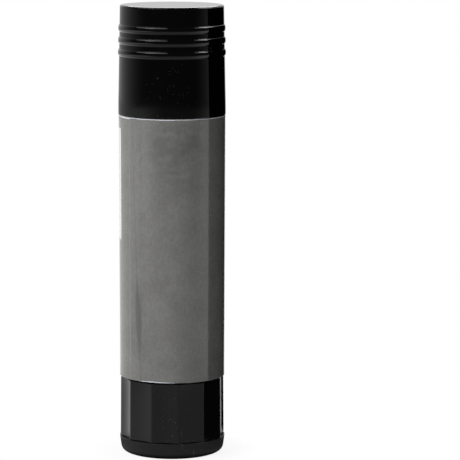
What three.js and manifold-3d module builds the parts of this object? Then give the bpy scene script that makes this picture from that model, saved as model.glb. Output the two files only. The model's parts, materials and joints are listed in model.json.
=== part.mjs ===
// Twist-up glue stick: a pull-off cap on a round barrel, and a faceted knob that turns a screw, which
// raises a cup of solid glue. Millimetres, +Z up, standing on z = 0 with its axis on Z, front at -Y.

import * as THREE from 'three';
import { mergeVertices } from 'three/addons/utils/BufferGeometryUtils.js';
import Module from 'manifold-3d';

const wasm = await Module();
wasm.setup();

// Fineness of the round forms
const SEGMENTS = 48;
const FILLET_STEPS = 5;
const RIB_STEPS = 4;

// Barrel: a straight bore inside, a drafted outside, and a thinner neck that the cap slides over
const BORE_R = 8.35;
const BARREL_WALL = 1.91;
const BARREL_DRAFT = 0.15;
const BARREL_LENGTH = 51.2;
const NECK_WALL = 0.85;
const NECK_HEIGHT = 12.6;
const RIM_CHAMFER = 0.25;
const FOOT_CHAMFER = 0.4;
const SEAL_BEAD = 0.1;
const SEAL_BEAD_WIDTH = 1.2;
const SEAL_BEAD_RISE = 3;

// Keys along the bore, which keep the carrier from turning
const KEY_COUNT = 4;
const KEY_WIDTH = 1.2;
const KEY_DEPTH = 0.3;
const KEY_FIT = 0.25;

// Label: a film wrapped round the barrel, with its end lapped over its start at the front left
const LABEL_THICKNESS = 0.1;
const LABEL_GLUE_LINE = 0.03;
const LABEL_TOP_MARGIN = 0.4;
const LABEL_FOOT_MARGIN = 0.24;
const LABEL_LAP = 2.4;
const LABEL_LAP_ANGLE = THREE.MathUtils.degToRad(-140);

// Cap: a drafted shell with grip rings
const CAP_HEIGHT = 21.25;
const CAP_WALL = 1.06;
const CAP_ROOF = 1.3;
const CAP_DRAFT = 0.39;
const CAP_BORE_DRAFT = 0.1;
const CAP_EDGE = 0.3;
const CAP_FIT = 0.1;
const CAP_SEAT_GAP = 0.05;
const CAP_LEAD_IN = 0.3;
const CAP_RIBS = 3;
const CAP_RIB_DROP = 4.33;
const CAP_RIB_PITCH = 2.35;
const CAP_RIB_WIDTH = 1.05;
const CAP_RIB_HEIGHT = 0.22;

// Knob: a faceted skirt under a deck, with a plug that snaps into the barrel's foot and turns there
const FACETS = 12;
const FACET_CORNER_ANGLE = THREE.MathUtils.degToRad(-80);
const FACET_CORNER_CHAMFER = 0.35;
const KNOB_HEIGHT = 11.3;
const KNOB_DRAFT = 0.08;
const KNOB_FOOT_GAP = 0.3;
const SKIRT_WALL = 1.15;
const DECK_THICKNESS = 1.4;
const PLUG_HEIGHT = 5;
const PLUG_WALL = 1.2;
const PLUG_FIT = 0.2;
const SNAP_BEAD = 0.35;
const SNAP_BEAD_WIDTH = 0.7;
const SNAP_BEAD_RISE = 2.4;
const SNAP_FIT = 0.25;

// Base: a disc with a spigot that closes the knob's skirt, and a post that backs the spindle's head
const BASE_HEIGHT = 3.5;
const BASE_FILLET = 2.1;
const BASE_PROUD = 0.2;
const BASE_EDGE = 0.25;
const BASE_FLOOR = 1.2;
const BASE_RECESS = 0.6;
const BASE_FOOT_WIDTH = 1.6;
const BASE_SEAM = 0.1;
const SPIGOT_HEIGHT = 2.4;
const SPIGOT_WALL = 1.1;
const SPIGOT_FIT = 0.08;
const POST_R = 3.4;
const POST_WALL = 1.1;

// Spindle: a two-start left-hand screw on a six-sided shank, so turning the knob clockwise, seen from
// below, raises the carrier
const THREAD_LEAD = 6;
const THREAD_STARTS = 2;
const THREAD_SIDES = 12;
const THREAD_CREST_SIDES = 2;
const THREAD_CORE_R = 2.1;
const THREAD_DEPTH = 0.9;
const THREAD_FIT = 0.45;
const SPINDLE_TIP_DROP = 4.5;
const SPINDLE_TIP_CHAMFER = 1;
const SHANK_SIDES = 6;
const SHANK_WALL = 0.3;
const SHANK_FIT = 0.1;
const SHANK_RISE = 0.6;
const HEAD_R = 5.2;
const HEAD_THICKNESS = 1.2;
const HEAD_GAP = 0.06;

// Carrier: a cup with two wiping lands outside and a threaded hub inside
const CARRIER_FIT = 0.2;
const CARRIER_GAP = 0.3;
const CARRIER_FLOOR = 1.4;
const CARRIER_CHAMFER = 0.3;
const CUP_HEIGHT = 7.2;
const CUP_WALL = 0.8;
const LAND_HEIGHT = 1.3;
const LAND_RELIEF = 0.15;
const HUB_HEIGHT = 9;
const HUB_WALL = 1.3;

// Glue
const GLUE_FIT = 0.2;
const GLUE_DROP = 7.8;
const GLUE_EDGE = 0.5;

// Levels, from the table up
const KNOB_Z = BASE_HEIGHT + BASE_SEAM;
const KNOB_TOP = KNOB_Z + KNOB_HEIGHT;
const DECK_Z = KNOB_TOP - DECK_THICKNESS;
const PLUG_TOP = KNOB_TOP + PLUG_HEIGHT;
const FOOT_Z = KNOB_TOP + KNOB_FOOT_GAP;
const SHOULDER_Z = FOOT_Z + BARREL_LENGTH;
const RIM_Z = SHOULDER_Z + NECK_HEIGHT;
const CAP_Z = SHOULDER_Z + CAP_SEAT_GAP;
const CAP_TOP = CAP_Z + CAP_HEIGHT;
const CEILING_Z = CAP_TOP - CAP_ROOF;
const SNAP_Z = KNOB_TOP + SNAP_BEAD_RISE;
const HEAD_TOP = DECK_Z - HEAD_GAP;
const HEAD_Z = HEAD_TOP - HEAD_THICKNESS;
const SPINDLE_TIP = SHOULDER_Z - SPINDLE_TIP_DROP;
const CARRIER_Z = PLUG_TOP + CARRIER_GAP;
const CUP_FLOOR_Z = CARRIER_Z + CARRIER_FLOOR;
const CUP_TOP = CARRIER_Z + CUP_HEIGHT;
const HUB_TOP = CARRIER_Z + HUB_HEIGHT;
const GLUE_TOP = RIM_Z - GLUE_DROP;

// Radii, from the bore out and in
const SHOULDER_R = BORE_R + BARREL_WALL;
const FOOT_R = SHOULDER_R - BARREL_DRAFT;
const NECK_R = BORE_R + NECK_WALL;
const CAP_BORE_R = NECK_R + SEAL_BEAD + CAP_FIT;
const CAP_MOUTH_R = CAP_BORE_R + CAP_WALL;
const PLUG_R = BORE_R - PLUG_FIT;
const SNAP_R = PLUG_R + SNAP_BEAD;
const GROOVE_R = SNAP_R + SNAP_FIT;
const SKIRT_BORE_R = FOOT_R * Math.cos(Math.PI / FACETS) - SKIRT_WALL;
const SPIGOT_R = SKIRT_BORE_R - SPIGOT_FIT;
const FLANGE_R = FOOT_R + BASE_PROUD;
const THREAD_CREST_R = THREAD_CORE_R + THREAD_DEPTH;
const SHANK_FLAT_R = THREAD_CREST_R + SHANK_WALL;
const CARRIER_R = BORE_R - CARRIER_FIT;
const CUP_BORE_R = CARRIER_R - CUP_WALL;
const HUB_R = THREAD_CREST_R + THREAD_FIT + HUB_WALL;
const KEY_TIP_R = BORE_R - KEY_DEPTH;
const GLUE_R = KEY_TIP_R - GLUE_FIT;

const barrelRadius = (z) => FOOT_R + BARREL_DRAFT * (z - FOOT_Z) / BARREL_LENGTH;
const capRadius = (z) => CAP_MOUTH_R - CAP_DRAFT * (z - CAP_Z) / CAP_HEIGHT;
const capBoreRadius = (z) => CAP_BORE_R - CAP_BORE_DRAFT * (z - CAP_Z) / CAP_HEIGHT;

// A profile point: distance from the axis, and height
const at = (r, z) => new THREE.Vector2(r, z);

// Profile points round a quarter circle, from its lowest point to its outermost
function quarterArc(centreR, centreZ, radius) {
  const points = [];
  for (let i = 0; i <= FILLET_STEPS; i++) {
    const turn = (Math.PI / 2) * (i / FILLET_STEPS);
    points.push(at(centreR + radius * Math.sin(turn), centreZ - radius * Math.cos(turn)));
  }
  return points;
}

// Profile points of a half-round ring, standing out from a wall that is given as a function of height
function ringBump(wallRadius, middleZ, width, height) {
  const points = [];
  for (let i = 0; i <= RIB_STEPS; i++) {
    const turn = Math.PI * (i / RIB_STEPS);
    const z = middleZ - (width / 2) * Math.cos(turn);
    points.push(at(wallRadius(z) + height * Math.sin(turn), z));
  }
  return points;
}

// A profile turned about Z. It runs up the outside and down the inside.
function revolve(profile) {
  return new THREE.LatheGeometry(profile, SEGMENTS).rotateX(Math.PI / 2);
}

function closedRevolve(profile) {
  return revolve([...profile, profile[0]]);
}

// An outline standing upright between two heights
function upright(shape, zFrom, zTo) {
  const geometry = new THREE.ExtrudeGeometry(shape, { depth: zTo - zFrom, bevelEnabled: false });
  return geometry.translate(0, 0, zFrom);
}

// A regular outline whose flats lie at the given distance from the axis
function polygonOutline(sides, flatR, cornerAngle, cornerChamfer) {
  const cornerR = flatR / Math.cos(Math.PI / sides);
  const corners = [];
  for (let i = 0; i < sides; i++) {
    const angle = cornerAngle + (2 * Math.PI * i) / sides;
    corners.push(at(cornerR * Math.cos(angle), cornerR * Math.sin(angle)));
  }
  if (cornerChamfer === 0) {
    return new THREE.Shape(corners);
  }
  const share = cornerChamfer / corners[0].distanceTo(corners[1]);
  const points = [];
  for (let i = 0; i < sides; i++) {
    const before = corners[(i + sides - 1) % sides];
    const after = corners[(i + 1) % sides];
    points.push(corners[i].clone().lerp(before, share));
    points.push(corners[i].clone().lerp(after, share));
  }
  return new THREE.Shape(points);
}

// Moves every vertex in or out, by a factor that depends on its height
function taper(geometry, factor) {
  const position = geometry.attributes.position;
  for (let i = 0; i < position.count; i++) {
    const grow = factor(position.getZ(i));
    position.setX(i, position.getX(i) * grow);
    position.setY(i, position.getY(i) * grow);
  }
  return geometry;
}

// A closed geometry as a solid that can be joined and cut
function solid(geometry) {
  const bare = geometry.clone();
  bare.deleteAttribute('normal');
  bare.deleteAttribute('uv');
  const merged = mergeVertices(bare);
  const index = merged.index.array;
  const triangles = [];
  for (let i = 0; i < index.length; i += 3) {
    const [a, b, c] = index.slice(i, i + 3);
    if (a !== b && b !== c && c !== a) {
      triangles.push(a, b, c);
    }
  }
  const mesh = new wasm.Mesh({
    numProp: 3,
    vertProperties: new Float32Array(merged.attributes.position.array),
    triVerts: new Uint32Array(triangles),
  });
  return new wasm.Manifold(mesh);
}

function geometryOf(body) {
  const mesh = body.getMesh();
  const geometry = new THREE.BufferGeometry();
  geometry.setAttribute('position', new THREE.BufferAttribute(mesh.vertProperties, 3));
  geometry.setIndex(new THREE.BufferAttribute(mesh.triVerts, 1));
  geometry.computeVertexNormals();
  return geometry;
}

function makeCap() {
  const profile = [at(0, CEILING_Z), at(capBoreRadius(CEILING_Z), CEILING_Z)];
  profile.push(at(capBoreRadius(CAP_Z + CAP_LEAD_IN), CAP_Z + CAP_LEAD_IN));
  profile.push(at(CAP_BORE_R + CAP_LEAD_IN, CAP_Z));
  profile.push(at(CAP_MOUTH_R, CAP_Z));
  for (let rib = CAP_RIBS - 1; rib >= 0; rib--) {
    const ribZ = CAP_TOP - CAP_RIB_DROP - rib * CAP_RIB_PITCH;
    profile.push(...ringBump(capRadius, ribZ, CAP_RIB_WIDTH, CAP_RIB_HEIGHT));
  }
  profile.push(at(capRadius(CAP_TOP), CAP_TOP - CAP_EDGE));
  profile.push(at(capRadius(CAP_TOP) - CAP_EDGE, CAP_TOP));
  profile.push(at(0, CAP_TOP));
  return revolve(profile);
}

// A bar along the bore, its inner face at the given radius and the rest of it in the wall
function boreBar(innerR, width, zFrom, zTo, angle) {
  const outerR = BORE_R + NECK_WALL / 2;
  const bar = new THREE.BoxGeometry(outerR - innerR, width, zTo - zFrom);
  bar.translate((outerR + innerR) / 2, 0, (zFrom + zTo) / 2);
  return bar.rotateZ(angle);
}

const keyAngle = (key) => (2 * Math.PI * (key + 0.5)) / KEY_COUNT;

function makeBarrel() {
  const sealZ = SHOULDER_Z + SEAL_BEAD_RISE;
  const grooveHalf = SNAP_BEAD_WIDTH / 2 + SNAP_FIT;
  const groovePitch = GROOVE_R - BORE_R;
  const tube = closedRevolve([
    at(BORE_R + FOOT_CHAMFER, FOOT_Z),
    at(FOOT_R, FOOT_Z),
    at(SHOULDER_R, SHOULDER_Z),
    at(NECK_R, SHOULDER_Z),
    ...ringBump(() => NECK_R, sealZ, SEAL_BEAD_WIDTH, SEAL_BEAD),
    at(NECK_R, RIM_Z - RIM_CHAMFER),
    at(NECK_R - RIM_CHAMFER, RIM_Z),
    at(BORE_R + RIM_CHAMFER, RIM_Z),
    at(BORE_R, RIM_Z - RIM_CHAMFER),
    at(BORE_R, SNAP_Z + grooveHalf + groovePitch),
    at(GROOVE_R, SNAP_Z + grooveHalf),
    at(GROOVE_R, SNAP_Z - grooveHalf),
    at(BORE_R, SNAP_Z - grooveHalf - groovePitch),
    at(BORE_R, FOOT_Z + FOOT_CHAMFER),
  ]);
  let body = solid(tube);
  for (let key = 0; key < KEY_COUNT; key++) {
    body = body.add(solid(boreBar(KEY_TIP_R, KEY_WIDTH, CARRIER_Z, SHOULDER_Z, keyAngle(key))));
  }
  return geometryOf(body);
}

// Outline points along an arc about the axis
function arcAbout(radius, fromAngle, toAngle, segments) {
  const points = [];
  for (let i = 0; i <= segments; i++) {
    const angle = fromAngle + (toAngle - fromAngle) * (i / segments);
    points.push(at(radius * Math.cos(angle), radius * Math.sin(angle)));
  }
  return points;
}

// The film's section at the barrel's foot: one turn round the barrel, two layers thick along the lap.
// It then follows the barrel's draft upward.
function makeLabel() {
  const innerR = FOOT_R + LABEL_GLUE_LINE;
  const outerR = innerR + LABEL_THICKNESS;
  const lapTurn = LABEL_LAP / outerR;
  const lapSegments = Math.ceil((SEGMENTS * lapTurn) / (2 * Math.PI));
  const lapEnd = LABEL_LAP_ANGLE + lapTurn;
  const outline = new THREE.Shape([
    ...arcAbout(outerR + LABEL_THICKNESS, LABEL_LAP_ANGLE, lapEnd, lapSegments),
    ...arcAbout(outerR, lapEnd, LABEL_LAP_ANGLE + 2 * Math.PI, SEGMENTS),
  ]);
  outline.holes.push(polygonOutline(SEGMENTS, innerR * Math.cos(Math.PI / SEGMENTS), 0, 0));
  const sleeve = upright(outline, FOOT_Z + LABEL_FOOT_MARGIN, SHOULDER_Z - LABEL_TOP_MARGIN);
  return taper(sleeve, (z) => barrelRadius(z) / FOOT_R);
}

const hexOutline = (fit) => polygonOutline(SHANK_SIDES, SHANK_FLAT_R + fit, 0, 0);

function makeKnob() {
  const flatR = FOOT_R * Math.cos(Math.PI / FACETS);
  const outline = polygonOutline(FACETS, flatR, FACET_CORNER_ANGLE, FACET_CORNER_CHAMFER);
  const grip = taper(
    upright(outline, KNOB_Z, KNOB_TOP),
    (z) => 1 - (KNOB_DRAFT / FOOT_R) * (z - KNOB_Z) / KNOB_HEIGHT,
  );
  const hollow = revolve([
    at(0, KNOB_Z - BASE_SEAM),
    at(SKIRT_BORE_R, KNOB_Z - BASE_SEAM),
    at(SKIRT_BORE_R, DECK_Z),
    at(0, DECK_Z),
  ]);
  const plugBoreR = PLUG_R - PLUG_WALL;
  const beadHalf = SNAP_BEAD_WIDTH / 2;
  const plug = closedRevolve([
    at(plugBoreR, DECK_Z + DECK_THICKNESS / 2),
    at(PLUG_R, DECK_Z + DECK_THICKNESS / 2),
    at(PLUG_R, SNAP_Z - beadHalf - SNAP_BEAD),
    at(SNAP_R, SNAP_Z - beadHalf),
    at(SNAP_R, SNAP_Z + beadHalf),
    at(PLUG_R, SNAP_Z + beadHalf + SNAP_BEAD),
    at(PLUG_R, PLUG_TOP - RIM_CHAMFER),
    at(PLUG_R - RIM_CHAMFER, PLUG_TOP),
    at(plugBoreR, PLUG_TOP),
  ]);
  const shankHole = upright(hexOutline(SHANK_FIT), DECK_Z - DECK_THICKNESS, KNOB_TOP + DECK_THICKNESS);
  return geometryOf(solid(grip).add(solid(plug)).subtract(solid(hollow)).subtract(solid(shankHole)));
}

function makeBase() {
  const floorTop = BASE_RECESS + BASE_FLOOR;
  const footOuterR = FLANGE_R - BASE_FILLET;
  const recessR = footOuterR - BASE_FOOT_WIDTH;
  const spigotTop = BASE_HEIGHT + SPIGOT_HEIGHT;
  const postTop = HEAD_Z - HEAD_GAP;
  return revolve([
    at(0, BASE_RECESS),
    at(recessR - BASE_RECESS, BASE_RECESS),
    at(recessR, 0),
    ...quarterArc(footOuterR, BASE_FILLET, BASE_FILLET),
    at(FLANGE_R, BASE_HEIGHT - BASE_EDGE),
    at(FLANGE_R - BASE_EDGE, BASE_HEIGHT),
    at(SPIGOT_R, BASE_HEIGHT),
    at(SPIGOT_R, spigotTop - BASE_EDGE),
    at(SPIGOT_R - BASE_EDGE, spigotTop),
    at(SPIGOT_R - SPIGOT_WALL, spigotTop),
    at(SPIGOT_R - SPIGOT_WALL, floorTop),
    at(POST_R, floorTop),
    at(POST_R, postTop),
    at(POST_R - POST_WALL, postTop),
    at(POST_R - POST_WALL, floorTop),
    at(0, floorTop),
  ]);
}

// A rod whose round surface is pushed out along the thread's crests and then twisted by one turn for
// each lead. The twist is measured from z = 0, so the screw and the cut in its nut stay in step.
function threadedRod(fit, zFrom, zTo) {
  const steps = Math.ceil(((zTo - zFrom) / THREAD_LEAD) * THREAD_SIDES);
  const rod = new THREE.CylinderGeometry(1, 1, zTo - zFrom, THREAD_SIDES, steps);
  rod.rotateX(Math.PI / 2).translate(0, 0, (zFrom + zTo) / 2);
  const sidesPerStart = THREAD_SIDES / THREAD_STARTS;
  const position = rod.attributes.position;
  for (let i = 0; i < position.count; i++) {
    const angle = Math.atan2(position.getY(i), position.getX(i));
    const side = Math.round((angle / (2 * Math.PI)) * THREAD_SIDES) + THREAD_SIDES;
    const onCrest = side % sidesPerStart < THREAD_CREST_SIDES;
    const threadR = (onCrest ? THREAD_CREST_R : THREAD_CORE_R) + fit;
    const r = threadR * Math.hypot(position.getX(i), position.getY(i));
    const twisted = angle - (2 * Math.PI * position.getZ(i)) / THREAD_LEAD;
    position.setX(i, r * Math.cos(twisted));
    position.setY(i, r * Math.sin(twisted));
  }
  return rod;
}

function makeSpindle() {
  const shankTop = KNOB_TOP + SHANK_RISE;
  const threadZ = KNOB_TOP;
  const envelopeR = THREAD_CREST_R + THREAD_DEPTH;
  const envelope = revolve([
    at(0, threadZ),
    at(envelopeR, threadZ),
    at(envelopeR, SPINDLE_TIP - SPINDLE_TIP_CHAMFER - THREAD_DEPTH),
    at(THREAD_CORE_R - SPINDLE_TIP_CHAMFER, SPINDLE_TIP),
    at(0, SPINDLE_TIP),
  ]);
  const head = revolve([at(0, HEAD_Z), at(HEAD_R, HEAD_Z), at(HEAD_R, HEAD_TOP), at(0, HEAD_TOP)]);
  const shank = upright(hexOutline(0), HEAD_Z + HEAD_THICKNESS / 2, shankTop);
  const screw = solid(threadedRod(0, threadZ - SHANK_RISE, SPINDLE_TIP + SHANK_RISE));
  return geometryOf(screw.intersect(solid(envelope)).add(solid(shank)).add(solid(head)));
}

function makeCarrier() {
  const landInnerR = CARRIER_R - LAND_RELIEF;
  const cup = solid(revolve([
    at(0, CARRIER_Z),
    at(CARRIER_R - CARRIER_CHAMFER, CARRIER_Z),
    at(CARRIER_R, CARRIER_Z + CARRIER_CHAMFER),
    at(CARRIER_R, CARRIER_Z + LAND_HEIGHT),
    at(landInnerR, CARRIER_Z + LAND_HEIGHT + LAND_RELIEF),
    at(landInnerR, CUP_TOP - LAND_HEIGHT - LAND_RELIEF),
    at(CARRIER_R, CUP_TOP - LAND_HEIGHT),
    at(CARRIER_R, CUP_TOP),
    at(CUP_BORE_R, CUP_TOP),
    at(CUP_BORE_R, CUP_FLOOR_Z),
    at(HUB_R, CUP_FLOOR_Z),
    at(HUB_R, HUB_TOP),
    at(0, HUB_TOP),
  ]));
  let body = cup.subtract(solid(threadedRod(THREAD_FIT, CARRIER_Z - CARRIER_FLOOR, HUB_TOP + CARRIER_FLOOR)));
  for (let key = 0; key < KEY_COUNT; key++) {
    const notchWidth = KEY_WIDTH + 2 * KEY_FIT;
    const zFrom = CARRIER_Z - CARRIER_FLOOR;
    const zTo = CUP_TOP + CARRIER_FLOOR;
    body = body.subtract(solid(boreBar(KEY_TIP_R - KEY_FIT, notchWidth, zFrom, zTo, keyAngle(key))));
  }
  return geometryOf(body);
}

function makeGlue() {
  const spindleHoleR = THREAD_CREST_R + GLUE_FIT;
  const hubHoleR = HUB_R + GLUE_FIT;
  const spigotR = CUP_BORE_R - GLUE_FIT;
  const holeTop = SPINDLE_TIP + GLUE_FIT;
  const hubHoleTop = HUB_TOP + GLUE_FIT;
  const spigotZ = CUP_FLOOR_Z + HEAD_GAP;
  const ledgeZ = CUP_TOP + GLUE_FIT;
  return revolve([
    at(0, holeTop),
    at(spindleHoleR, holeTop),
    at(spindleHoleR, hubHoleTop),
    at(hubHoleR, hubHoleTop),
    at(hubHoleR, spigotZ),
    at(spigotR, spigotZ),
    at(spigotR, ledgeZ),
    at(GLUE_R, ledgeZ),
    at(GLUE_R, GLUE_TOP - GLUE_EDGE),
    at(GLUE_R - GLUE_EDGE, GLUE_TOP),
    at(0, GLUE_TOP),
  ]);
}

function plastic(colour, roughness) {
  return new THREE.MeshStandardMaterial({ color: colour, roughness, metalness: 0 });
}

function piece(name, geometry, material) {
  const mesh = new THREE.Mesh(geometry, material);
  mesh.name = name;
  return mesh;
}

const glueStick = new THREE.Group();
glueStick.add(
  piece('cap', makeCap(), plastic(0x0b0b0c, 0.22)),
  piece('barrel', makeBarrel(), plastic(0xd9dee4, 0.4)),
  piece('label', makeLabel(), plastic(0x6b6a67, 0.38)),
  piece('knob', makeKnob(), plastic(0x101011, 0.3)),
  piece('base', makeBase(), plastic(0x121213, 0.36)),
  piece('spindle', makeSpindle(), plastic(0xdfe1e0, 0.45)),
  piece('carrier', makeCarrier(), plastic(0xe3e4e1, 0.45)),
  piece('glue', makeGlue(), plastic(0xe9e6dc, 0.3)),
);

export default glueStick;
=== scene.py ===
import json
import math
from collections import namedtuple

import bpy
import numpy as np
from mathutils import Matrix, Vector


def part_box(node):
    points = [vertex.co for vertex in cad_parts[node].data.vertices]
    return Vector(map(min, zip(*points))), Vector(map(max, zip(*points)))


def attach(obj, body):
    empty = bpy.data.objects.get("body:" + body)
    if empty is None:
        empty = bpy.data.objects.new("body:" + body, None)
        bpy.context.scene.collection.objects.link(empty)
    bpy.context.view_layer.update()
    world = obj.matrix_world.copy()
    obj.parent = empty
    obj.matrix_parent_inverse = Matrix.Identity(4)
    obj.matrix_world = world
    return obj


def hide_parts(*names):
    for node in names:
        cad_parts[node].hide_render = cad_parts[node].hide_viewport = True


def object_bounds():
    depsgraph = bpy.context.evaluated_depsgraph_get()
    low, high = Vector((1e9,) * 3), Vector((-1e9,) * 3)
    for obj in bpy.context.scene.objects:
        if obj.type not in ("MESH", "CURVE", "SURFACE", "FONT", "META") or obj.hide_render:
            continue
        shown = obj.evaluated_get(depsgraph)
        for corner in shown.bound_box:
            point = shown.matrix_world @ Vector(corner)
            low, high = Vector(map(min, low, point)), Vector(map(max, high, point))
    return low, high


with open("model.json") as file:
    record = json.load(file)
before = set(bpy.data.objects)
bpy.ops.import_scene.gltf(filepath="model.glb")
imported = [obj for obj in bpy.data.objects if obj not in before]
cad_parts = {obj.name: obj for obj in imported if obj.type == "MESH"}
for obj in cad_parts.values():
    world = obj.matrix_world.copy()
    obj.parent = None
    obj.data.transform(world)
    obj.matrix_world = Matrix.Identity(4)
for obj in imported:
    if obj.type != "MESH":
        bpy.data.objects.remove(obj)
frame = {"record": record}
cad_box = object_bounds()

# The stick stands on z = 0 with its axis on Z and its front at -Y. Sizes are in millimetres, and a mesh
# turns them into metres as it is made.
MM = 0.001

# Fineness of the round forms, how close to a rounded edge the flat beside it starts, and how far across a
# face an outline starts or ends
ROUND_STEPS = 160
ARC_STEPS = 6
BUMP_STEPS = 14
EDGE_SUPPORT = 0.05
FACE_INSET = 1.0

# Radii of rounded edges and inside corners, from the sharpest to the softest
EDGE_HAIR = 0.05
EDGE_LIP = 0.08
EDGE_FINE = 0.1
EDGE_RIM = 0.12
EDGE_PLAIN = 0.15
EDGE_SMALL = 0.2
EDGE_SOFT = 0.25
EDGE_ROUND = 0.3
EDGE_WIDE = 0.4
EDGE_FULL = 0.5

# Cap. Its grip rings are a little wider than the solids', as the photo shows them.
CAP_ROOF = 1.3
CAP_WALL = 1.06
CAP_DRAFT = 0.39
CAP_BORE_DRAFT = 0.1
CAP_EDGE = 0.32
CAP_LEAD_IN = 0.3
RIBS = 3
RIB_DROP = 4.42
RIB_PITCH = 2.35
RIB_WIDTH = 1.36
RIB_HEIGHT = 0.22

# Barrel, with its neck, the keys in its bore and the groove that holds the knob
BARREL_WALL = 1.91
BARREL_DRAFT = 0.15
BARREL_LENGTH = 51.2
NECK_WALL = 0.85
SEAL_BEAD = 0.1
SEAL_BEAD_WIDTH = 1.2
SEAL_BEAD_RISE = 3.0
KEYS = 4
KEY_WIDTH = 1.2
KEY_DEPTH = 0.3
KEY_FIT = 0.25
KEY_EDGE_SHARE = 0.03
GROOVE_RISE = 2.1
GROOVE_WIDTH = 1.2
GROOVE_DEPTH = 0.4

# Label film. It laps over its own start at the front left, and its top edge wavers. Its foot leaves a
# sliver of the barrel bare in front.
FILM = 0.1
FILM_GLUE = 0.03
FILM_EDGE = 0.02
LAP_ANGLE = math.radians(-140)
LAP_WIDTH = 2.4
LAP_RAMP = 0.7
LAP_STEPS = 24
FILM_RISE = 0.3
FILM_SKEW = 0.16
FILM_WAVER = 0.03
SLOW_WAVES = 5
QUICK_WAVES = 13
QUICK_START = 1.0
BARE_MIDDLE = math.radians(-108)
BARE_HALF = math.radians(36)
BARE_HEIGHT = 0.28

# Knob
FACETS = 12
FIRST_CORNER = math.radians(-82)
CORNER_R = 0.5
FACET_HOLLOW = 0.22
FACET_STEPS = 8
KNOB_DRAFT = 0.08
GRIP_PROUD = 0.12
KNOB_EDGE = 0.1
KNOB_HEIGHT = 11.3
KNOB_FOOT_GAP = 0.05
KNOB_TOP_GAP = 0.3
SKIRT_WALL = 1.15
DECK = 1.4
PLUG_R = 8.15
PLUG_WALL = 1.2
PLUG_BEAD = 0.35
PLUG_BEAD_WIDTH = 0.7
PLUG_BEAD_RISE = 2.4

# Base. It is a little lower and less rounded than the solids', as the photo shows it.
BASE_HEIGHT = 3.2
BASE_DRAFT = 0.4
BASE_FILLET = 1.4
BASE_EDGE = 0.1
BASE_FLOOR = 1.2
BASE_RECESS = 0.6
BASE_FOOT = 2.3
SPIGOT_TOP = 5.9
SPIGOT_WALL = 1.1
SPIGOT_R = 8.53
POST_R = 3.4
POST_WALL = 1.1

# Spindle, and the thread that it shares with the carrier's hub
THREAD_LEAD = 6.0
THREAD_STARTS = 2
THREAD_CORE_R = 2.1
THREAD_DEPTH = 0.9
THREAD_CREST = math.radians(30)
THREAD_ROOT = math.radians(90)
THREAD_TURN = math.radians(15)
THREAD_FIT = 0.45
THREAD_RINGS = 18
THREAD_SIDES = 72
HEAD_THICKNESS = 1.2
SHANK_FLAT_R = 3.3
SHANK_SIDES = 6
SHANK_RISE = 0.6
SHANK_FIT = 0.1
TIP_CHAMFER = 1.0

# Carrier and glue
CUP_HEIGHT = 7.2
CUP_WALL = 0.8
CUP_FLOOR = 1.4
LAND_HEIGHT = 1.3
LAND_RELIEF = 0.15
HUB_WALL = 1.3
HUB_FACE = 0.4
NOTCH_EASE = 0.05
GLUE_FIT = 0.2
GLUE_EDGE = 0.8

# Camera, in metres and degrees
CAMERA_PLACE = (0.0113, -0.53894, 0.12044)
CAMERA_TILT = 8.0989
CAMERA_ROLL = 0.125
CAMERA_LENS = 218.09
CAMERA_SENSOR = 36.0
CAMERA_NEAR = 0.01


def span(node):
    """Lowest and highest level of a CAD node, in millimetres."""
    low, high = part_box(node)
    return low.z / MM, high.z / MM


def reach(node):
    """How far a CAD node reaches from the axis, in millimetres."""
    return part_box(node)[1].x / MM


# Meshes


def smooth(share):
    """An even share from 0 to 1, eased at both ends and held beyond them."""
    held = np.clip(share, 0, 1)
    return held * held * (3 - 2 * held)


def even_angles(steps):
    return np.arange(steps) * (2 * math.pi / steps)


def ring(angles, radius, level):
    """Points about the axis. Radius and level are numbers, or one value for each angle."""
    flat = np.ones_like(angles)
    return np.stack([radius * np.cos(angles), radius * np.sin(angles), level * flat], axis=1)


def skin(name, rings, poles=None):
    """A closed mesh over rings of points, which run up the outside and down the inside of a body.
    It closes on points of the axis at the two levels in poles, or else from its last ring to its first."""
    count = len(rings[0])
    points = np.concatenate(rings) * MM
    ahead = np.roll(np.arange(count), -1)
    faces = []
    pairs = [(i, i + 1) for i in range(len(rings) - 1)]
    if poles is None:
        pairs.append((len(rings) - 1, 0))
    for lower, upper in pairs:
        for here, beside in enumerate(ahead):
            a, b = lower * count, upper * count
            faces.append((a + here, a + beside, b + beside, b + here))
    if poles is not None:
        first, last = len(points), len(points) + 1
        end = (len(rings) - 1) * count
        points = np.concatenate([points, [(0, 0, poles[0] * MM), (0, 0, poles[1] * MM)]])
        faces += [(first, beside, here) for here, beside in enumerate(ahead)]
        faces += [(end + here, end + beside, last) for here, beside in enumerate(ahead)]
    mesh = bpy.data.meshes.new(name)
    mesh.from_pydata([tuple(p) for p in points], [], [tuple(int(i) for i in f) for f in faces])
    mesh.shade_smooth()
    piece = bpy.data.objects.new(name, mesh)
    bpy.context.scene.collection.objects.link(piece)
    return piece


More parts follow.
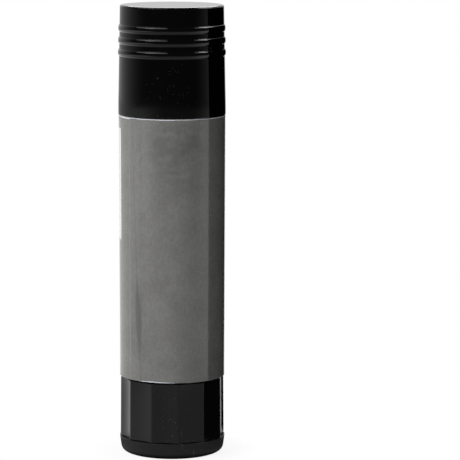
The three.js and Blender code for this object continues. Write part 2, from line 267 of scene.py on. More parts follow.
def rounded(corners):
    """An outline of (radius, level) points from corners, where a third number rounds that corner."""
    points = []
    for i, corner in enumerate(corners):
        here = np.array(corner[:2], float)
        if len(corner) == 2:
            points.append(here)
            continue
        back = np.array(corners[i - 1][:2], float) - here
        ahead = np.array(corners[(i + 1) % len(corners)][:2], float) - here
        back /= np.linalg.norm(back)
        ahead /= np.linalg.norm(ahead)
        half = math.acos(np.clip(back @ ahead, -1, 1)) / 2
        tangent = corner[2] / math.tan(half)
        middle = (back + ahead) / np.linalg.norm(back + ahead)
        centre = here + middle * corner[2] / math.sin(half)
        start = here + back * tangent - centre
        end = here + ahead * tangent - centre
        turn = math.pi - 2 * half
        points.append(centre + start + back * EDGE_SUPPORT)
        for share in np.linspace(0, 1, ARC_STEPS + 1):
            arc = start * math.sin((1 - share) * turn) + end * math.sin(share * turn)
            points.append(centre + arc / math.sin(turn))
        points.append(centre + end + ahead * EDGE_SUPPORT)
    return points


def turned(name, corners):
    """A body turned about the axis, from an outline that starts and ends on it."""
    angles = even_angles(ROUND_STEPS)
    rings = [ring(angles, r, z) for r, z in rounded(corners)[1:-1]]
    return skin(name, rings, poles=(corners[0][1], corners[-1][1]))


def bump(wall, middle, width, height):
    """Outline corners of a half-round ring that stands out from a wall."""
    corners = []
    for turn in np.linspace(0, math.pi, BUMP_STEPS + 1):
        level = middle - width / 2 * math.cos(turn)
        corners.append((wall(level) + height * math.sin(turn), level))
    low = corners[0][1] - EDGE_SUPPORT
    high = corners[-1][1] + EDGE_SUPPORT
    return [(wall(low), low), *corners, (wall(high), high)]


# Pieces


def make_cap():
    """A drafted shell with half-round grip rings below its top."""
    mouth, top = span("cap")
    ceiling = top - CAP_ROOF
    rise = lambda z: (z - mouth) / (top - mouth)
    wall = lambda z: reach("cap") - CAP_DRAFT * rise(z)
    bore = lambda z: reach("cap") - CAP_WALL - CAP_BORE_DRAFT * rise(z)
    corners = [
        (0, ceiling),
        (bore(ceiling), ceiling, EDGE_FULL),
        (bore(mouth + CAP_LEAD_IN), mouth + CAP_LEAD_IN, EDGE_FINE),
        (bore(mouth) + CAP_LEAD_IN, mouth, EDGE_LIP),
        (wall(mouth), mouth, EDGE_RIM),
    ]
    lowest_rib = top - RIB_DROP - (RIBS - 1) * RIB_PITCH
    for rib in range(RIBS):
        corners += bump(wall, lowest_rib + rib * RIB_PITCH, RIB_WIDTH, RIB_HEIGHT)
    corners += [(wall(top), top, CAP_EDGE), (0, top)]
    return turned("cap_shell", corners)


def key_angles():
    """Even angles, with closer ones at both edges of each key."""
    half = KEY_WIDTH / 2 / (reach("barrel") - BARREL_WALL)
    edge = KEY_EDGE_SHARE * half
    extra = []
    for key in range(KEYS):
        middle = 2 * math.pi * (key + 0.5) / KEYS
        for side in (-half, half):
            extra += [middle + side - edge, middle + side + edge]
    return np.sort(np.concatenate([even_angles(ROUND_STEPS), np.mod(extra, 2 * math.pi)]))


def on_key(angles, extra_width):
    """Which angles lie on a key that is wider by the given amount."""
    half = (KEY_WIDTH + extra_width) / 2 / (reach("barrel") - BARREL_WALL)
    turn = 2 * math.pi / KEYS
    return np.abs(np.mod(angles, turn) - turn / 2) < half


def make_barrel():
    """A drafted tube with a thinner neck, a snap groove at its foot and keys along its bore."""
    foot, rim = span("barrel")
    shoulder = foot + BARREL_LENGTH
    shoulder_r = reach("barrel")
    bore = shoulder_r - BARREL_WALL
    neck = bore + NECK_WALL
    key_foot = span("carrier")[0]
    groove = foot - KNOB_TOP_GAP + GROOVE_RISE
    outer = [
        (bore, foot, EDGE_ROUND),
        (shoulder_r - BARREL_DRAFT, foot, EDGE_FINE),
        (shoulder_r, shoulder, EDGE_RIM),
        (neck, shoulder, EDGE_PLAIN),
        *bump(lambda z: neck, shoulder + SEAL_BEAD_RISE, SEAL_BEAD_WIDTH, SEAL_BEAD),
        (neck, rim, EDGE_SOFT),
        (bore, rim, EDGE_SOFT),
        (bore, groove + GROOVE_WIDTH + GROOVE_DEPTH, EDGE_FINE),
        (bore + GROOVE_DEPTH, groove + GROOVE_WIDTH, EDGE_FINE),
        (bore + GROOVE_DEPTH, groove, EDGE_FINE),
        (bore, groove - GROOVE_DEPTH, EDGE_FINE),
    ]
    angles = key_angles()
    keyed = np.where(on_key(angles, 0), bore - KEY_DEPTH, bore)
    rings = []
    last = foot
    for r, z in rounded(outer):
        down_past_keys = z < key_foot < last
        if down_past_keys:
            for level in (shoulder, shoulder - EDGE_SUPPORT, key_foot + EDGE_SUPPORT, key_foot):
                radius = bore if level in (shoulder, key_foot) else keyed
                rings.append(ring(angles, radius, level))
        rings.append(ring(angles, r, z))
        last = z
    return skin("barrel_tube", rings)


def make_label():
    """A film wound once round the barrel and lapped over its own start."""
    top = span("label")[1] + FILM_RISE
    foot = span("barrel")[0]
    shoulder_r = reach("barrel")
    wall = lambda z: shoulder_r - BARREL_DRAFT * (1 - (z - foot) / BARREL_LENGTH) + FILM_GLUE
    lap = LAP_WIDTH / shoulder_r
    ramp = LAP_RAMP / shoulder_r
    wound = np.concatenate([
        np.linspace(0, lap + ramp, LAP_STEPS),
        np.linspace(lap + ramp, 2 * math.pi - FILM_EDGE / shoulder_r, ROUND_STEPS)[1:],
    ])
    angles = LAP_ANGLE + wound
    film = FILM * (2 - smooth((wound - lap) / ramp))
    waver = FILM_WAVER * (np.sin(SLOW_WAVES * wound) + np.sin(QUICK_WAVES * wound + QUICK_START)) / 2
    upper = top - FILM_SKEW * wound / (2 * math.pi) + waver - FILM_WAVER
    off_front = np.abs(np.mod(angles - BARE_MIDDLE + math.pi, 2 * math.pi) - math.pi)
    lower = foot + BARE_HEIGHT * np.cos(np.clip(off_front / BARE_HALF, 0, 1) * math.pi / 2)
    near_edge = FILM_EDGE + EDGE_SUPPORT
    rings = [
        ring(angles, wall(foot), lower),
        ring(angles, wall(foot) + film - FILM_EDGE, lower),
        ring(angles, wall(foot) + film, lower + FILM_EDGE),
        ring(angles, wall(foot) + film, lower + near_edge),
        ring(angles, wall(top) + film, upper - near_edge),
        ring(angles, wall(top) + film, upper - FILM_EDGE),
        ring(angles, wall(top) + film - FILM_EDGE, upper),
        ring(angles, wall(top), upper),
    ]
    return skin("label_film", rings)


def grip_angles():
    """Angles across every facet, closer together round its corners."""
    half = math.pi / FACETS
    flat = reach("knob") * math.cos(half)
    flat_half = math.atan((flat - CORNER_R) * math.tan(half) / flat)
    across = np.concatenate([
        np.linspace(-half, -flat_half, ARC_STEPS // 2 + 1)[:-1],
        np.linspace(-flat_half, flat_half, FACET_STEPS + 1),
        np.linspace(flat_half, half, ARC_STEPS // 2 + 1)[1:-1],
    ])
    middles = FIRST_CORNER + half + 2 * half * np.arange(FACETS)
    return (middles[:, None] + across[None, :]).ravel()


def grip_radius(angles, flat):
    """The grip's outline: slightly hollow facets, whose middles lie at flat, between rounded corners."""
    half = math.pi / FACETS
    local = np.mod(angles - FIRST_CORNER, 2 * half) - half
    along = flat * np.tan(local)
    flat_half = (flat - CORNER_R) * math.tan(half)
    hollow = FACET_HOLLOW * (1 - np.clip(along / flat_half, -1, 1) ** 2)
    facet = (flat - hollow) / np.cos(local)
    centre = (flat - CORNER_R) / math.cos(half)
    off = half - np.abs(local)
    root = np.sqrt(np.maximum(CORNER_R ** 2 - (centre * np.sin(off)) ** 2, 0))
    corner = centre * np.cos(off) + root
    return np.where(np.abs(along) > flat_half, corner, facet)


def hexagon(angles, flat):
    """The shank's outline: six sides, whose middles lie at flat."""
    half = math.pi / SHANK_SIDES
    return flat / np.cos(np.mod(angles, 2 * half) - half)


def make_knob():
    """A faceted skirt under a deck, with a plug that snaps into the barrel."""
    cad_foot, plug_top = span("knob")
    foot = BASE_HEIGHT + KNOB_FOOT_GAP
    top = cad_foot + KNOB_HEIGHT
    deck = top - DECK
    foot_r = reach("barrel") - BARREL_DRAFT + GRIP_PROUD
    flat = foot_r * math.cos(math.pi / FACETS)
    skirt_bore = flat - SKIRT_WALL
    plug_bore = PLUG_R - PLUG_WALL
    bead = top + PLUG_BEAD_RISE
    bead_half = PLUG_BEAD_WIDTH / 2
    angles = grip_angles()
    rings = []
    side = rounded([
        (flat - FACE_INSET, foot),
        (flat, foot, KNOB_EDGE),
        (flat - KNOB_DRAFT, top, KNOB_EDGE),
        (flat - FACE_INSET, top),
    ])
    for r, z in side[1:-1]:
        rings.append(ring(angles, grip_radius(angles, r), z))
    inside = rounded([
        (flat - FACE_INSET, top),
        (PLUG_R, top, EDGE_SMALL),
        (PLUG_R, bead - bead_half - PLUG_BEAD, EDGE_FINE),
        (PLUG_R + PLUG_BEAD, bead - bead_half, EDGE_FINE),
        (PLUG_R + PLUG_BEAD, bead + bead_half, EDGE_FINE),
        (PLUG_R, bead + bead_half + PLUG_BEAD, EDGE_FINE),
        (PLUG_R, plug_top, EDGE_SOFT),
        (plug_bore, plug_top, EDGE_FINE),
        (plug_bore, top, EDGE_ROUND),
        (SHANK_FLAT_R + FACE_INSET, top),
    ])
    rings += [ring(angles, r, z) for r, z in inside]
    hole = hexagon(angles, SHANK_FLAT_R + SHANK_FIT)
    for inset, level in (
        (EDGE_FINE, top),
        (0, top - EDGE_FINE),
        (0, deck + EDGE_FINE),
        (EDGE_FINE, deck),
    ):
        rings.append(ring(angles, hole + inset, level))
    below = rounded([
        (SHANK_FLAT_R + FACE_INSET, deck),
        (skirt_bore, deck, EDGE_FULL),
        (skirt_bore, foot, EDGE_FINE),
        (flat - FACE_INSET / 2, foot),
    ])
    rings += [ring(angles, r, z) for r, z in below]
    return skin("knob_grip", rings)


def make_base():
    """A disc with a recess under it, a spigot in the knob's skirt and a post below the spindle."""
    flange = reach("base")
    post_top = span("base")[1]
    floor = BASE_RECESS + BASE_FLOOR
    recess = flange - BASE_FILLET - BASE_FOOT
    return turned("base_disc", [
        (0, BASE_RECESS),
        (recess - BASE_RECESS, BASE_RECESS, EDGE_SOFT),
        (recess, 0, EDGE_SMALL),
        (flange - BASE_DRAFT, 0, BASE_FILLET),
        (flange, BASE_HEIGHT, BASE_EDGE),
        (SPIGOT_R, BASE_HEIGHT, EDGE_HAIR),
        (SPIGOT_R, SPIGOT_TOP, EDGE_SOFT),
        (SPIGOT_R - SPIGOT_WALL, SPIGOT_TOP, EDGE_FINE),
        (SPIGOT_R - SPIGOT_WALL, floor, EDGE_ROUND),
        (POST_R, floor, EDGE_SMALL),
        (POST_R, post_top, EDGE_FINE),
        (POST_R - POST_WALL, post_top, EDGE_FINE),
        (POST_R - POST_WALL, floor, EDGE_SMALL),
        (0, floor),
    ])


def thread_radius(angles, level, fit):
    """The two-start thread's radius at a level, grown by a fit all round."""
    turn = THREAD_STARTS * (angles + 2 * math.pi * level / THREAD_LEAD - THREAD_TURN)
    off = np.abs(np.mod(turn + math.pi, 2 * math.pi) - math.pi)
    return THREAD_CORE_R + fit + THREAD_DEPTH * smooth((THREAD_ROOT - off) / (THREAD_ROOT - THREAD_CREST))


def thread_levels(low, high):
    count = math.ceil((high - low) / THREAD_LEAD * THREAD_RINGS)
    return np.linspace(low, high, count + 1)


def make_spindle():
    """A screw on a six-sided shank, with a flat head below the knob's deck."""
    head, tip = span("spindle")
    head_r = reach("spindle")
    knob_top = span("knob")[0] + KNOB_HEIGHT
    angles = even_angles(THREAD_SIDES)
    shank_top = knob_top + SHANK_RISE
    head_top = head + HEAD_THICKNESS
    shank = hexagon(angles, SHANK_FLAT_R)
    collar = rounded([
        (0, head),
        (head_r, head, EDGE_PLAIN),
        (head_r, head_top, EDGE_PLAIN),
        (SHANK_FLAT_R + FACE_INSET, head_top),
    ])
    rings = [ring(angles, r, z) for r, z in collar[1:]]
    for inset, level in ((0, head_top), (0, shank_top - EDGE_FINE), (EDGE_FINE, shank_top)):
        rings.append(ring(angles, shank - inset, level))
    chamfer_foot = tip - TIP_CHAMFER - THREAD_DEPTH
    for level in thread_levels(shank_top, tip):
        limit = THREAD_CORE_R - TIP_CHAMFER + max(tip - level, 0)
        radius = thread_radius(angles, level, 0)
        if level > chamfer_foot:
            radius = np.minimum(radius, limit)
        rings.append(ring(angles, radius, level))
    return skin("screw_spindle", rings, poles=(head, tip))


def make_carrier():
    """A cup with two wiping lands, notches for the barrel's keys and a threaded hub."""
    foot, hub_top = span("carrier")
    outer = reach("carrier")
    rim = foot + CUP_HEIGHT
    floor = foot + CUP_FLOOR
    bore = outer - CUP_WALL
    hub = THREAD_CORE_R + THREAD_DEPTH + THREAD_FIT + HUB_WALL
    key_tip = reach("barrel") - BARREL_WALL - KEY_DEPTH - KEY_FIT
    angles = key_angles()
    notch = on_key(angles, 2 * KEY_FIT)
    wall = rounded([
        (hub, foot),
        (outer, foot, EDGE_ROUND),
        (outer, foot + LAND_HEIGHT, EDGE_HAIR),
        (outer - LAND_RELIEF, foot + LAND_HEIGHT + LAND_RELIEF, EDGE_HAIR),
        (outer - LAND_RELIEF, rim - LAND_HEIGHT - LAND_RELIEF, EDGE_HAIR),
        (outer, rim - LAND_HEIGHT, EDGE_HAIR),
        (outer, rim, EDGE_RIM),
        (bore, rim, EDGE_RIM),
        (bore, floor, EDGE_WIDE),
        (hub, floor, EDGE_ROUND),
        (hub, hub_top, EDGE_SMALL),
        (hub - HUB_FACE, hub_top),
    ])
    rings = []
    for r, z in wall:
        cut = np.interp(r, (0, key_tip - NOTCH_EASE, outer), (0, key_tip - NOTCH_EASE, key_tip))
        rings.append(ring(angles, np.where(notch, cut, r), z))
    for level in thread_levels(foot, hub_top)[::-1]:
        rings.append(ring(angles, thread_radius(angles, level, THREAD_FIT), level))
    return skin("glue_carrier", rings)


def make_glue():
    """A stick cast in the carrier's cup and round the spindle."""
    foot, top = span("glue")
    outer = reach("glue")
    cup_rim = span("carrier")[0] + CUP_HEIGHT
    hub_top = span("carrier")[1] + GLUE_FIT
    hole = THREAD_CORE_R + THREAD_DEPTH + GLUE_FIT
    hub = THREAD_CORE_R + THREAD_DEPTH + THREAD_FIT + HUB_WALL + GLUE_FIT
    hole_top = span("spindle")[1] + GLUE_FIT
    seat = reach("carrier") - CUP_WALL - GLUE_FIT
    return turned("glue_stick", [
        (0, hole_top),
        (hole, hole_top, EDGE_SMALL),
        (hole, hub_top, EDGE_SMALL),
        (hub, hub_top, EDGE_FINE),
        (hub, foot, EDGE_SMALL),
        (seat, foot, EDGE_WIDE),
        (seat, cup_rim + GLUE_FIT, EDGE_FINE),
        (outer, cup_rim + GLUE_FIT, EDGE_SMALL),
        (outer, top, GLUE_EDGE),
        (0, top),
    ])


# Finishes

# How far a speck's rim fades, as a share of its radius
SPECK_BLUR = 0.3

# How far dust on the black plastic reaches, in millimetres, round one place and off one level
PATCH_NEAR = 1.5
PATCH_FAR = 4.5
PATCH_LONG = 2.2
RING_NEAR = 0.15
RING_FAR = 0.45


class Tree:
    """A node tree under construction, with short calls for the nodes in it."""

    def __init__(self, holder):
        holder.use_nodes = True
        self.nodes = holder.node_tree.nodes
        self.links = holder.node_tree.links

    def add(self, kind, **settings):
        node = self.nodes.new("ShaderNode" + kind)
        for name, value in settings.items():
            setattr(node, name, value)
        return node

    def feed(self, socket, value):
        """Links an output to a socket, or sets the socket's own value."""
        if isinstance(value, bpy.types.NodeSocket):
            self.links.new(value, socket)
        else:
            socket.default_value = value

    def maths(self, operation, first, second):
        node = self.add("Math", operation=operation)
        self.feed(node.inputs[0], first)
        self.feed(node.inputs[1], second)
        return node.outputs[0]

    def times(self, first, second):
        return self.maths("MULTIPLY", first, second)

    def larger(self, first, second):
        return self.maths("MAXIMUM", first, second)

    def ramp(self, value, low, high, to_low=0.0, to_high=1.0):
        """Takes a value smoothly from the range low to high on to another range, and holds it there."""
        node = self.add("MapRange", interpolation_type="SMOOTHSTEP")
        for socket, number in zip(node.inputs[:5], (value, low, high, to_low, to_high)):
            self.feed(socket, number)
        return node.outputs[0]

    def vector(self, operation, first, second=None):
        node = self.add("VectorMath", operation=operation)
        self.feed(node.inputs[0], first)
        if second is not None:
            self.feed(node.inputs[1], second)
        return node.outputs["Value" if operation in ("DOT_PRODUCT", "LENGTH", "DISTANCE") else "Vector"]

    def mix(self, factor, first, second, kind="RGBA"):
        """First where the factor is zero, and second where it is one."""
        node = self.add("Mix", data_type=kind)
        live = [socket for socket in node.inputs if socket.enabled]
        for socket, value in zip(live, (factor, first, second)):
            self.feed(socket, value)
        return next(socket for socket in node.outputs if socket.enabled)

    def number(self, factor, first, second):
        return self.mix(factor, first, second, "FLOAT")


class Finish(Tree):
    """A material under construction: its shader, and short calls for the textures that feed it."""

    def __init__(self, name):
        self.material = bpy.data.materials.new(name)
        super().__init__(self.material)
        self.shader = self.nodes["Principled BSDF"]
        self.place = self.add("TexCoord").outputs["Object"]

    def set(self, **values):
        """Feeds the shader's sockets, named with _ for a space."""
        for name, value in values.items():
            self.feed(self.shader.inputs[name.replace("_", " ")], value)

    def stretched(self, scale):
        node = self.add("Mapping")
        self.feed(node.inputs["Vector"], self.place)
        node.inputs["Scale"].default_value = scale
        return node.outputs[0]

    def noise(self, size, detail=2.0, vector=None):
        """Noise whose features are about the given size, in millimetres."""
        node = self.add("TexNoise")
        self.feed(node.inputs["Vector"], vector or self.place)
        node.inputs["Scale"].default_value = 1 / (size * MM)
        node.inputs["Detail"].default_value = detail
        return node.outputs["Fac"]

    def specks(self, spacing, radius, share):
        """Scattered dots of about the given radius, on a share of cells of the given spacing."""
        node = self.add("TexVoronoi")
        self.feed(node.inputs["Vector"], self.place)
        node.inputs["Scale"].default_value = 1 / (spacing * MM)
        rim = radius / spacing
        dot = self.ramp(node.outputs["Distance"], rim * (1 + SPECK_BLUR), rim * (1 - SPECK_BLUR))
        pick = self.add("SeparateColor")
        self.feed(pick.inputs[0], node.outputs["Color"])
        return self.times(dot, self.maths("LESS_THAN", pick.outputs[0], share))

    def near(self, place, near, far, long=1.0):
        """One within a distance of a place, falling to zero at a greater one, in millimetres. The patch is
        longer up the stick by the last number."""
        squeeze = (1, 1, 1 / long)
        scaled = self.vector("MULTIPLY", self.place, squeeze)
        away = self.vector("DISTANCE", scaled, tuple(c * s * MM for c, s in zip(place, squeeze)))
        return self.ramp(away, far * MM, near * MM)

    def height(self):
        """The height up the stick, in metres."""
        node = self.add("SeparateXYZ")
        self.feed(node.inputs[0], self.place)
        return node.outputs[2]

    def off_level(self, level):
        """How far a point is above or below a level given in millimetres, in metres."""
        return self.maths("ABSOLUTE", self.maths("SUBTRACT", self.height(), level * MM), 0.0)

    def relief(self, height, depth):
        """Bumps the surface by a height of 0 to 1, with a depth in millimetres."""
        node = self.add("Bump")
        node.inputs["Distance"].default_value = depth * MM
        self.feed(node.inputs["Height"], height)
        self.feed(self.shader.inputs["Normal"], node.outputs[0])


def grey(level):
    return (level, level, level, 1.0)


def heading(azimuth):
    """A level direction, by its angle in degrees from the front, positive to the right."""
    turn = math.radians(azimuth)
    return Vector((math.sin(turn), -math.cos(turn), 0))


def black_plastic(name, level, roughness, ior, peel, dust_level, scuffs, dusty, dusty_ring):
    """Black moulded plastic with an orange peel of a depth in millimetres. Dust and hairlines lie thinly
    all over it, and thickly in a patch at one place and round the stick at one level."""
    finish = Finish(name)
    patch = finish.near(dusty, PATCH_NEAR, PATCH_FAR, long=PATCH_LONG)
    scatter = finish.ramp(finish.noise(7, 1), 0.5, 0.66, 0.0, 0.6)
    where = finish.larger(patch, scatter)
    ring_motes = finish.larger(
        finish.specks(spacing=0.9, radius=0.13, share=0.35),
        finish.specks(spacing=0.45, radius=0.07, share=0.4),
    )
    on_ring = finish.ramp(finish.off_level(dusty_ring), RING_FAR * MM, RING_NEAR * MM)
    ring_dust = finish.times(ring_motes, on_ring)
    motes = finish.larger(
        finish.specks(spacing=1.5, radius=0.15, share=0.35),
        finish.specks(spacing=0.6, radius=0.06, share=0.7),
    )
    dust = finish.larger(finish.times(motes, where), ring_dust)
    hairs = finish.noise(0.9, 2, finish.stretched((2.6, 2.6, 0.25)))
    hairline = finish.times(finish.ramp(hairs, 0.7, 0.76), where)
    wear = finish.larger(dust, finish.times(hairline, scuffs))
    cloud = finish.noise(4, 4)
    shade = finish.mix(cloud, grey(0.7 * level), grey(1.3 * level))
    finish.set(Base_Color=finish.mix(wear, shade, grey(dust_level)))
    gloss = finish.ramp(cloud, 0.3, 0.7, roughness * 0.85, roughness * 1.15)
    finish.set(Roughness=finish.maths("ADD", gloss, finish.times(wear, 0.4)), IOR=ior)
    finish.relief(finish.maths("ADD", finish.noise(3.5, 1), dust), peel)
    return finish.material


def white_plastic(name, colour, roughness):
    """Pale moulded plastic, faintly clouded."""
    finish = Finish(name)
    deeper = tuple(0.93 * c for c in colour[:3]) + (1.0,)
    finish.set(Base_Color=finish.mix(finish.noise(6, 3), deeper, colour))
    finish.set(Roughness=finish.ramp(finish.noise(1.5, 3), 0.3, 0.7, roughness * 0.9, roughness * 1.1))
    finish.relief(finish.noise(0.8, 3), 0.006)
    return finish.material


# Places on the label, in millimetres and degrees: a blank white panel at the left, a long dark streak of
# painted shade along a pucker where the film has lifted a little, and a rubbed patch near the top
PANEL_AZIMUTH = -108
PANEL_HALF = 36.5
PANEL_LOW = 42.3
PANEL_HIGH = 64.0
PANEL_EDGE = 0.05
PANEL_TURN_EDGE = 0.004
PANEL_WHITE = (0.76, 0.76, 0.75, 1.0)
LIFT_AZIMUTH = -38
LIFT_WIDTH = 0.75
LIFT_MIDDLE = 28.0
LIFT_HALF = 10.0
LIFT_LEAN = 0.04
LIFT_OUTER_FADE = 0.3
LIFT_INNER_FADE = 0.4
LIFT_SHADE_STRENGTH = 0.85
RUBBED = (1.5, -10.0, 60.0)
RUBBED_NEAR = 3.5
RUBBED_FAR = 8.5
RUBBED_STRENGTH = 0.55

# The label's print, and what rubbing, painted crease shade and motes make of it
INK_DEEP = (0.14, 0.139, 0.135, 1.0)
INK_PALE = (0.188, 0.187, 0.181, 1.0)
RUBBED_AND_SHADE_LEVEL = 0.105
MOTE_LEVEL = 0.5
MOTE_STRENGTH = 0.35


def blank_panel(finish, outward):
    """One on the label's white panel."""
    limit = math.cos(math.radians(PANEL_HALF))
    facing = finish.vector("DOT_PRODUCT", outward, heading(PANEL_AZIMUTH))
    height = finish.height()
    return finish.times(
        finish.ramp(facing, limit - PANEL_TURN_EDGE, limit + PANEL_TURN_EDGE),
        finish.times(
            finish.ramp(height, (PANEL_LOW - PANEL_EDGE) * MM, (PANEL_LOW + PANEL_EDGE) * MM),
            finish.ramp(height, (PANEL_HIGH + PANEL_EDGE) * MM, (PANEL_HIGH - PANEL_EDGE) * MM),
        ),
    )


def crease_shade_mask(finish, outward):
    """One along the painted shade of the pucker where the film has lifted."""
    across = finish.vector("DOT_PRODUCT", finish.place, heading(LIFT_AZIMUTH + 90))
    lean = finish.times(finish.maths("SUBTRACT", finish.height(), LIFT_MIDDLE * MM), LIFT_LEAN)
    aside = finish.maths("ABSOLUTE", finish.maths("ADD", across, lean), 0.0)
    taper = finish.ramp(finish.off_level(LIFT_MIDDLE), 0.0, LIFT_HALF * MM, LIFT_WIDTH * MM, 0.0)
    beyond = finish.maths("SUBTRACT", aside, taper)
    return finish.times(
        finish.ramp(beyond, LIFT_OUTER_FADE * MM, -LIFT_INNER_FADE * MM),
        finish.ramp(finish.vector("DOT_PRODUCT", outward, heading(LIFT_AZIMUTH)), 0.0, 0.5),
    )


def label_film():
    """Grey printed film with a mottled print, a fine grain, rubbed streaks and a streak of painted shade
    along a pucker.
    """
    finish = Finish("label_film")
    outward = finish.vector("NORMALIZE", finish.vector("MULTIPLY", finish.place, (1, 1, 0)))
    threads = finish.noise(0.35, 2, finish.stretched((1.0, 1.0, 0.3)))
    wound = finish.noise(0.35, 2, finish.stretched((0.5, 0.5, 1.0)))
    grain = finish.times(finish.maths("ADD", threads, wound), 0.5)
    mottle = finish.noise(5, 5)
    tone = finish.maths("ADD", finish.times(grain, 0.6), finish.times(mottle, 0.45))
    ink = finish.mix(finish.ramp(tone, 0.34, 0.71), INK_DEEP, INK_PALE)
    smears = finish.ramp(finish.noise(2.2, 4, finish.stretched((0.6, 0.6, 1.3))), 0.36, 0.62)
    rubbed = finish.times(smears, finish.near(RUBBED, RUBBED_NEAR, RUBBED_FAR))
    # Darker where the film is rubbed, and along the pucker, where the dark is painted shade
    rubbed_and_crease_shade = finish.larger(
        finish.times(crease_shade_mask(finish, outward), LIFT_SHADE_STRENGTH),
        finish.times(rubbed, RUBBED_STRENGTH),
    )
    rubbed_and_shaded = finish.mix(rubbed_and_crease_shade, ink, grey(RUBBED_AND_SHADE_LEVEL))
    motes = finish.larger(
        finish.specks(spacing=1.6, radius=0.05, share=0.3),
        finish.specks(spacing=6.0, radius=0.11, share=0.3),
    )
    printed = finish.mix(finish.times(motes, MOTE_STRENGTH), rubbed_and_shaded, grey(MOTE_LEVEL))
    finish.set(Base_Color=finish.mix(blank_panel(finish, outward), printed, PANEL_WHITE))
    finish.set(Roughness=finish.ramp(mottle, 0.3, 0.7, 0.1, 0.16), IOR=1.55)
    finish.relief(finish.maths("ADD", finish.noise(4, 2), finish.times(grain, 0.3)), 0.012)
    return finish.material


def clear_glue():
    """Solid glue: pale and cloudy, with a waxy sheen and soft dents."""
    finish = Finish("clear_glue")
    cloud = finish.noise(3.5, 4)
    finish.set(Base_Color=finish.mix(cloud, (0.72, 0.71, 0.66, 1.0), (0.84, 0.83, 0.79, 1.0)))
    finish.set(Roughness=finish.ramp(finish.noise(1.2, 3), 0.3, 0.7, 0.22, 0.42), IOR=1.45)
    finish.set(Coat_Weight=0.3, Coat_Roughness=0.2)
    finish.relief(finish.noise(3.0, 2), 0.04)
    return finish.material


# Stage. Distances are in metres, angles in degrees and levels in shares of white. What reflections show
# has one level within the narrow angle of an azimuth, and another beyond the wide angle. A studio that is
# dark about the camera stands round a floor of rings, each of which takes over from the last between two
# distances from a point some way ahead of the object.
AMBIENT = 0.18
Ground = namedtuple("Ground", "azimuth level narrow other_level wide start full ahead", defaults=(0, 0, 0))
STUDIO = Ground(azimuth=-5, level=0.04, narrow=80, other_level=0.8, wide=180)
# The floor glows to reflections at painted levels: under the object and in the first ring round its foot,
# the dark is a painted shadow
FLOOR_UNDER_PAINTED_SHADOW = 0.03
FLOOR_RINGS = [
    Ground(azimuth=-10, level=0.47, narrow=30, other_level=0.06, wide=110, start=0.0095, full=0.0115),
    Ground(azimuth=45, level=0.37, narrow=30, other_level=0.7, wide=130, start=0.014, full=0.026),
    Ground(azimuth=-15, level=0.4, narrow=40, other_level=1.0, wide=110, start=0.07, full=0.1),
    Ground(azimuth=8, level=0.1, narrow=36, other_level=1.0, wide=66, start=0.25, full=0.55),
    Ground(azimuth=15, level=0.08, narrow=20, other_level=0.4, wide=85, start=0.66, full=0.74),
    Ground(azimuth=-4, level=0.03, narrow=50, other_level=0.5, wide=150, start=0.955, full=0.985,
           ahead=0.174),
]
FLOOR_RADIUS = 4.0
FLOOR_DROP = 0.00005
FLOOR_WHITE = 0.9
FLOOR_TO_OBJECT = 0.12
SHADOW_SHARE = 0.1
SHADOW_NEAR = 0.011
SHADOW_FAR = 0.018
LAMP_DISTANCE = 0.6

# A black card beside the object
CARD_RIGHT = 0.0145
CARD_FRONT = -0.0078
CARD_BACK = 0.014
CARD_FOOT = 0.0016


def ray_kinds(tree):
    """Whether a ray comes straight from the camera, and whether it was reflected or let through."""
    path = tree.add("LightPath").outputs
    return path["Is Camera Ray"], tree.larger(path["Is Glossy Ray"], path["Is Transmission Ray"])


def side_level(tree, way, ground):
    """How bright the studio or a ring of the floor looks in a level direction."""
    facing = tree.vector("DOT_PRODUCT", way, heading(ground.azimuth))
    near, far = (math.cos(math.radians(angle)) for angle in (ground.narrow, ground.wide))
    return tree.ramp(facing, near, far, ground.level, ground.other_level)


def make_world():
    """White to the eye, the studio in reflections, and soft grey light on everything."""
    world = bpy.data.worlds.new("studio")
    bpy.context.scene.world = world
    tree = Tree(world)
    camera, mirror = ray_kinds(tree)
    studio = side_level(tree, tree.add("TexCoord").outputs["Generated"], STUDIO)
    background = tree.nodes["Background"]
    background.inputs["Color"].default_value = grey(1.0)
    level = tree.number(camera, tree.number(mirror, AMBIENT, studio), 1.0)
    tree.feed(background.inputs["Strength"], level)


def flat_piece(name, points):
    """A single face that belongs to the stage."""
    mesh = bpy.data.meshes.new(name)
    mesh.from_pydata(points, [], [tuple(range(len(points)))])
    piece = bpy.data.objects.new(name, mesh)
    bpy.context.scene.collection.objects.link(piece)
    return piece


def stage_material(piece):
    """A new material on a stage piece, as a tree with only its output."""
    material = bpy.data.materials.new(piece.name)
    piece.data.materials.append(material)
    tree = Tree(material)
    tree.nodes.remove(tree.nodes["Principled BSDF"])
    return tree, tree.nodes["Material Output"].inputs["Surface"]


def blended(tree, factor, first, second):
    node = tree.add("MixShader")
    for socket, value in zip(node.inputs, (factor, first.outputs[0], second.outputs[0])):
        tree.feed(socket, value)
    return node


def matte(tree, level):
    node = tree.add("BsdfDiffuse")
    node.inputs["Color"].default_value = grey(level)
    return node


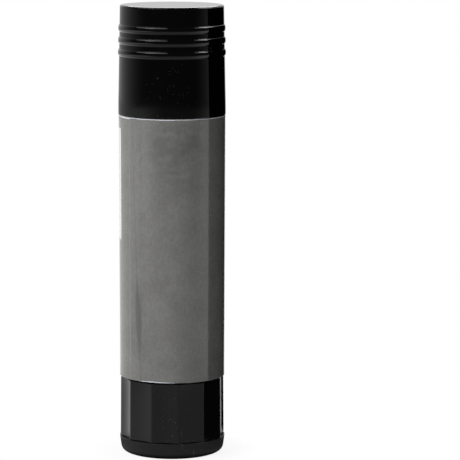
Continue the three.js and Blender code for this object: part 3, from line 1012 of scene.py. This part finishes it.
def make_floor():
    """A white floor that shows the object's shadow close to it, and fades into the white round it."""
    outline = ring(even_angles(ROUND_STEPS), FLOOR_RADIUS, -FLOOR_DROP)
    tree, surface = stage_material(flat_piece("floor", outline.tolist()))
    camera, mirror = ray_kinds(tree)
    place = tree.add("TexCoord").outputs["Object"]
    way = tree.vector("NORMALIZE", place)
    # Reflections see the floor glow at these painted levels, dark as a painted shadow under and round the
    # object's foot
    mirrored = FLOOR_UNDER_PAINTED_SHADOW
    for ground in FLOOR_RINGS:
        away = tree.vector("DISTANCE", place, heading(0) * ground.ahead)
        reached = tree.ramp(away, ground.start, ground.full)
        mirrored = tree.number(reached, mirrored, side_level(tree, way, ground))
    glow = tree.add("Emission")
    tree.feed(glow.inputs["Strength"], tree.number(mirror, 1.0, mirrored))
    away = tree.vector("LENGTH", place)
    shadow = tree.times(tree.ramp(away, SHADOW_NEAR, SHADOW_FAR, SHADOW_SHARE, 0.0), camera)
    shown = blended(tree, shadow, glow, matte(tree, FLOOR_WHITE))
    whole = blended(tree, tree.larger(camera, mirror), matte(tree, FLOOR_TO_OBJECT), shown)
    tree.feed(surface, whole.outputs[0])


def make_card():
    """A black card at the right, which only reflections see. It draws the dark band along that side."""
    top = cad_box[1].z
    card = flat_piece("black_card", [
        (CARD_RIGHT, CARD_FRONT, CARD_FOOT),
        (CARD_RIGHT, CARD_BACK, CARD_FOOT),
        (CARD_RIGHT, CARD_BACK, top),
        (CARD_RIGHT, CARD_FRONT, top),
    ])
    tree, surface = stage_material(card)
    tree.feed(surface, matte(tree, 0.0).outputs[0])
    card.visible_camera = False
    card.visible_diffuse = False
    card.visible_shadow = False


def make_softbox(name, azimuth, elevation, size, level):
    """An oval lamp aimed at the object, at an angle in degrees from the front and from the floor. Its face
    is as bright as its level says, whatever its size."""
    lamp = bpy.data.lights.new(name, "AREA")
    lamp.shape = "ELLIPSE"
    lamp.size, lamp.size_y = size
    area = math.pi / 4 * size[0] * size[1]
    lamp.energy = level * math.pi * area
    holder = bpy.data.objects.new(name, lamp)
    bpy.context.scene.collection.objects.link(holder)
    middle = (cad_box[0] + cad_box[1]) / 2
    rise = math.radians(elevation)
    way = heading(azimuth) * math.cos(rise) + Vector((0, 0, math.sin(rise)))
    holder.location = middle + way * LAMP_DISTANCE
    holder.rotation_euler = way.to_track_quat("Z", "Y").to_euler()
    holder.visible_camera = False
    return holder


def light_softly(name, **placing):
    """A softbox that lights the object and shows in no reflection."""
    make_softbox(name, **placing).visible_glossy = False


def glint(name, **placing):
    """A strip lamp that shows only in reflections."""
    make_softbox(name, **placing).visible_diffuse = False


def make_camera():
    """A long lens, a little above the object."""
    camera = bpy.data.cameras.new("camera")
    camera.sensor_width = CAMERA_SENSOR
    camera.lens = CAMERA_LENS
    camera.clip_start = CAMERA_NEAR
    holder = bpy.data.objects.new("camera", camera)
    bpy.context.scene.collection.objects.link(holder)
    holder.location = CAMERA_PLACE
    tilt = Matrix.Rotation(math.radians(90 - CAMERA_TILT), 3, "X")
    roll = Matrix.Rotation(math.radians(CAMERA_ROLL), 3, "Z")
    holder.rotation_euler = (tilt @ roll).to_euler()
    bpy.context.scene.camera = holder


# Assembly

record = frame["record"]
bodies = {node: body for body, nodes in record["behaviour"]["bodies"].items() for node in nodes}


def stand_for(node, piece, material):
    """Puts a finished piece in a CAD node's place."""
    piece.data.materials.append(material)
    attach(piece, bodies[node])
    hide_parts(node)


make_camera()
knob_black = black_plastic(
    "knob_black", level=0.004, roughness=0.14, ior=1.42, peel=0.008,
    dust_level=0.08, scuffs=0.3, dusty=(0.5, -10, 9), dusty_ring=BASE_HEIGHT,
)
base_black = black_plastic(
    "base_black", level=0.008, roughness=0.3, ior=1.36, peel=0.014,
    dust_level=0.13, scuffs=0.8, dusty=(4, -9, 1.6), dusty_ring=BASE_HEIGHT,
)
cap_black = black_plastic(
    "cap_black", level=0.001, roughness=0.03, ior=1.5, peel=0.001,
    dust_level=0.045, scuffs=0.3, dusty=(0.5, -10.3, 72), dusty_ring=span("cap")[0],
)
inner_white = white_plastic("inner_white", (0.73, 0.74, 0.73, 1.0), roughness=0.45)
barrel_white = white_plastic("barrel_white", (0.68, 0.71, 0.75, 1.0), roughness=0.38)
stand_for("cap", make_cap(), cap_black)
stand_for("barrel", make_barrel(), barrel_white)
stand_for("label", make_label(), label_film())
stand_for("knob", make_knob(), knob_black)
stand_for("base", make_base(), base_black)
stand_for("spindle", make_spindle(), inner_white)
stand_for("carrier", make_carrier(), inner_white)
stand_for("glue", make_glue(), clear_glue())

make_world()
make_floor()
make_card()
light_softly("left_softbox", azimuth=-56, elevation=22, size=(0.5, 0.3), level=8.8)
light_softly("front_softbox", azimuth=3, elevation=24, size=(0.45, 0.25), level=4.2)
light_softly("back_softbox", azimuth=190, elevation=26, size=(0.5, 0.3), level=6.3)
glint("left_strip", azimuth=-50, elevation=40, size=(0.8, 0.3), level=1.8)
glint("left_core", azimuth=-50, elevation=40, size=(0.5, 0.34), level=9.0)
glint("back_strip", azimuth=180, elevation=36, size=(0.3, 0.32), level=7.0)
glint("right_strip", azimuth=94, elevation=40, size=(0.72, 0.3), level=1.2)
glint("right_core", azimuth=96, elevation=40, size=(0.36, 0.36), level=5.0)
bpy.context.scene.view_settings.view_transform = "Standard"
